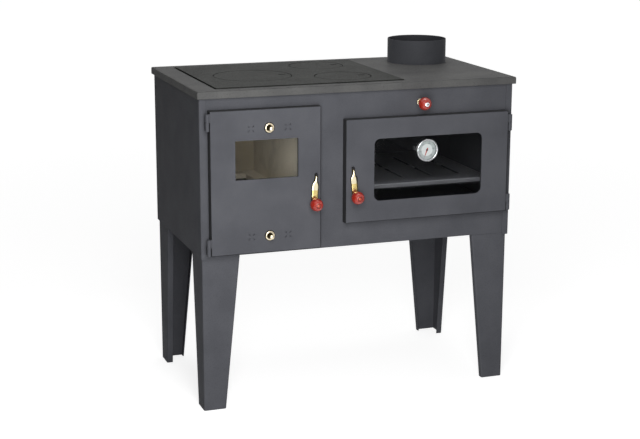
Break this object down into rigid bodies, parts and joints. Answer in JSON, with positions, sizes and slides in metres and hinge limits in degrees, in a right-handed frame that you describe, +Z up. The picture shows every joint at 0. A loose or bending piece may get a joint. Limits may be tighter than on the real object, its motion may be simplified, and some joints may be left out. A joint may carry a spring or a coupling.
{
  "type": "wood cookstove",
  "caption": "Wood cookstove on four folded tapered legs, with a glazed fire door, a glazed oven door, a cast-iron hob with lift-off lids and a round flue collar.",
  "frame": {"origin": "on the floor, under the centre of the box that holds the whole stove with its handles and flue collar", "axes": "+X to the right seen from the front, +Y from the doors to the back, +Z up"},
  "size_m": [0.79, 0.5, 0.82],
  "materials": {
    "paint": "anthracite heat-resistant paint on sheet steel, satin",
    "cast_iron": "painted cast iron, fine sand-cast grain, satin",
    "black_steel": "dark heat-resistant paint on sheet steel, inside the stove",
    "brass": "polished brass plate",
    "red_bead": "glossy red moulded bead",
    "steel": "bright zinc-plated or stainless steel",
    "firebrick": "cream pressed firebrick board, matt",
    "sealing_rope": "knitted glass-fibre rope",
    "glass": "clear glass ceramic",
    "needle": "red enamelled needle"
  },
  "bodies": {
    "casing": {"top_plate": "paint", "cooking_plate": "cast_iron", "flue_collar": "paint", "side_panel_left": "paint", "side_panel_right": "paint", "front_panel": "paint", "back_panel": "paint", "bottom_panel": "paint", "leg_front_left": "paint", "leg_front_right": "paint", "leg_rear_right": "paint", "leg_rear_left": "paint", "fire_hinge_lower": "paint", "fire_hinge_upper": "paint", "oven_hinge_lower": "paint", "oven_hinge_upper": "paint", "fire_latch_keeper": "steel", "oven_latch_keeper": "steel", "grate_shelf": "black_steel", "fire_grate": "cast_iron", "brick_left": "firebrick", "brick_right": "firebrick", "brick_back": "firebrick", "floor_brick_left": "firebrick", "floor_brick_right": "firebrick", "floor_brick_back": "firebrick", "firebox_partition": "black_steel", "ash_runner_left": "black_steel", "ash_runner_right": "black_steel", "oven_box": "black_steel", "flue_baffle": "black_steel"},
    "big_lid_body": {"big_lid": "cast_iron"},
    "front_lid_body": {"front_lid": "cast_iron"},
    "rear_lid_body": {"rear_lid": "cast_iron"},
    "damper": {"damper_plate": "black_steel", "damper_rod": "brass", "damper_bead": "red_bead"},
    "ash_drawer": {"ash_pan": "black_steel"},
    "baking_shelf": {"oven_shelf": "black_steel"},
    "fire_door": {"fire_door_pan": "paint", "fire_door_glass": "glass", "fire_door_liner": "black_steel", "fire_door_rope": "sealing_rope"},
    "fire_latch": {"fire_latch_lever": "brass", "fire_latch_bead": "red_bead", "fire_latch_spindle": "steel"},
    "upper_air_control": {"upper_air_shutter": "paint", "upper_air_knob": "brass"},
    "lower_air_control": {"lower_air_shutter": "paint", "lower_air_knob": "brass"},
    "oven_door": {"oven_door_pan": "paint", "oven_door_glass": "glass", "oven_door_liner": "black_steel", "oven_door_rope": "sealing_rope", "thermometer_case": "steel"},
    "oven_latch": {"oven_latch_lever": "brass", "oven_latch_bead": "red_bead", "oven_latch_spindle": "steel"},
    "needle": {"thermometer_needle": "needle"}
  },
  "joints": [
    {"name": "fire_door_hinge", "type": "hinge", "parent": "casing", "child": "fire_door", "pos_m": [-0.376, -0.2107, 0.549], "axis": [0, 0, -1], "range_deg": [0, 110]},
    {"name": "oven_door_hinge", "type": "hinge", "parent": "casing", "child": "oven_door", "pos_m": [0.377, -0.2107, 0.5575], "axis": [0, 0, 1], "range_deg": [0, 110]},
    {"name": "fire_latch_turn", "type": "hinge", "parent": "fire_door", "child": "fire_latch", "pos_m": [-0.119, -0.205, 0.558], "axis": [0, 1, 0], "range_deg": [-12, 85]},
    {"name": "oven_latch_turn", "type": "hinge", "parent": "oven_door", "child": "oven_latch", "pos_m": [-0.028, -0.205, 0.567], "axis": [0, -1, 0], "range_deg": [-12, 85]},
    {"name": "upper_air_turn", "type": "hinge", "parent": "fire_door", "child": "upper_air_control", "pos_m": [-0.231, -0.21, 0.673], "axis": [0, 1, 0], "range_deg": [0, 7]},
    {"name": "lower_air_turn", "type": "hinge", "parent": "fire_door", "child": "lower_air_control", "pos_m": [-0.231, -0.21, 0.421], "axis": [0, 1, 0], "range_deg": [0, 7]},
    {"name": "damper_pull", "type": "slide", "parent": "casing", "child": "damper", "axis": [0, -1, 0], "range_m": [0, 0.09]},
    {"name": "big_lid_lift", "type": "slide", "parent": "casing", "child": "big_lid_body", "axis": [0, 0, 1], "range_m": [0, 0.08]},
    {"name": "front_lid_lift", "type": "slide", "parent": "casing", "child": "front_lid_body", "axis": [0, 0, 1], "range_m": [0, 0.08]},
    {"name": "rear_lid_lift", "type": "slide", "parent": "casing", "child": "rear_lid_body", "axis": [0, 0, 1], "range_m": [0, 0.08]},
    {"name": "ash_pan_slide", "type": "slide", "parent": "casing", "child": "ash_drawer", "axis": [0, -1, 0], "range_m": [0, 0.1]},
    {"name": "oven_shelf_slide", "type": "slide", "parent": "casing", "child": "baking_shelf", "axis": [0, -1, 0], "range_m": [0, 0.1]},
    {"name": "thermometer_needle_turn", "type": "hinge", "parent": "oven_door", "child": "needle", "pos_m": [0.159, -0.214, 0.598], "axis": [0, 1, 0], "range_deg": [0, 300]}
  ],
  "couplings": [
    {"joint": "ash_pan_slide", "follows": "fire_door_hinge", "m_per_rad": 0.05},
    {"joint": "oven_shelf_slide", "follows": "oven_door_hinge", "m_per_rad": 0.05}
  ]
}
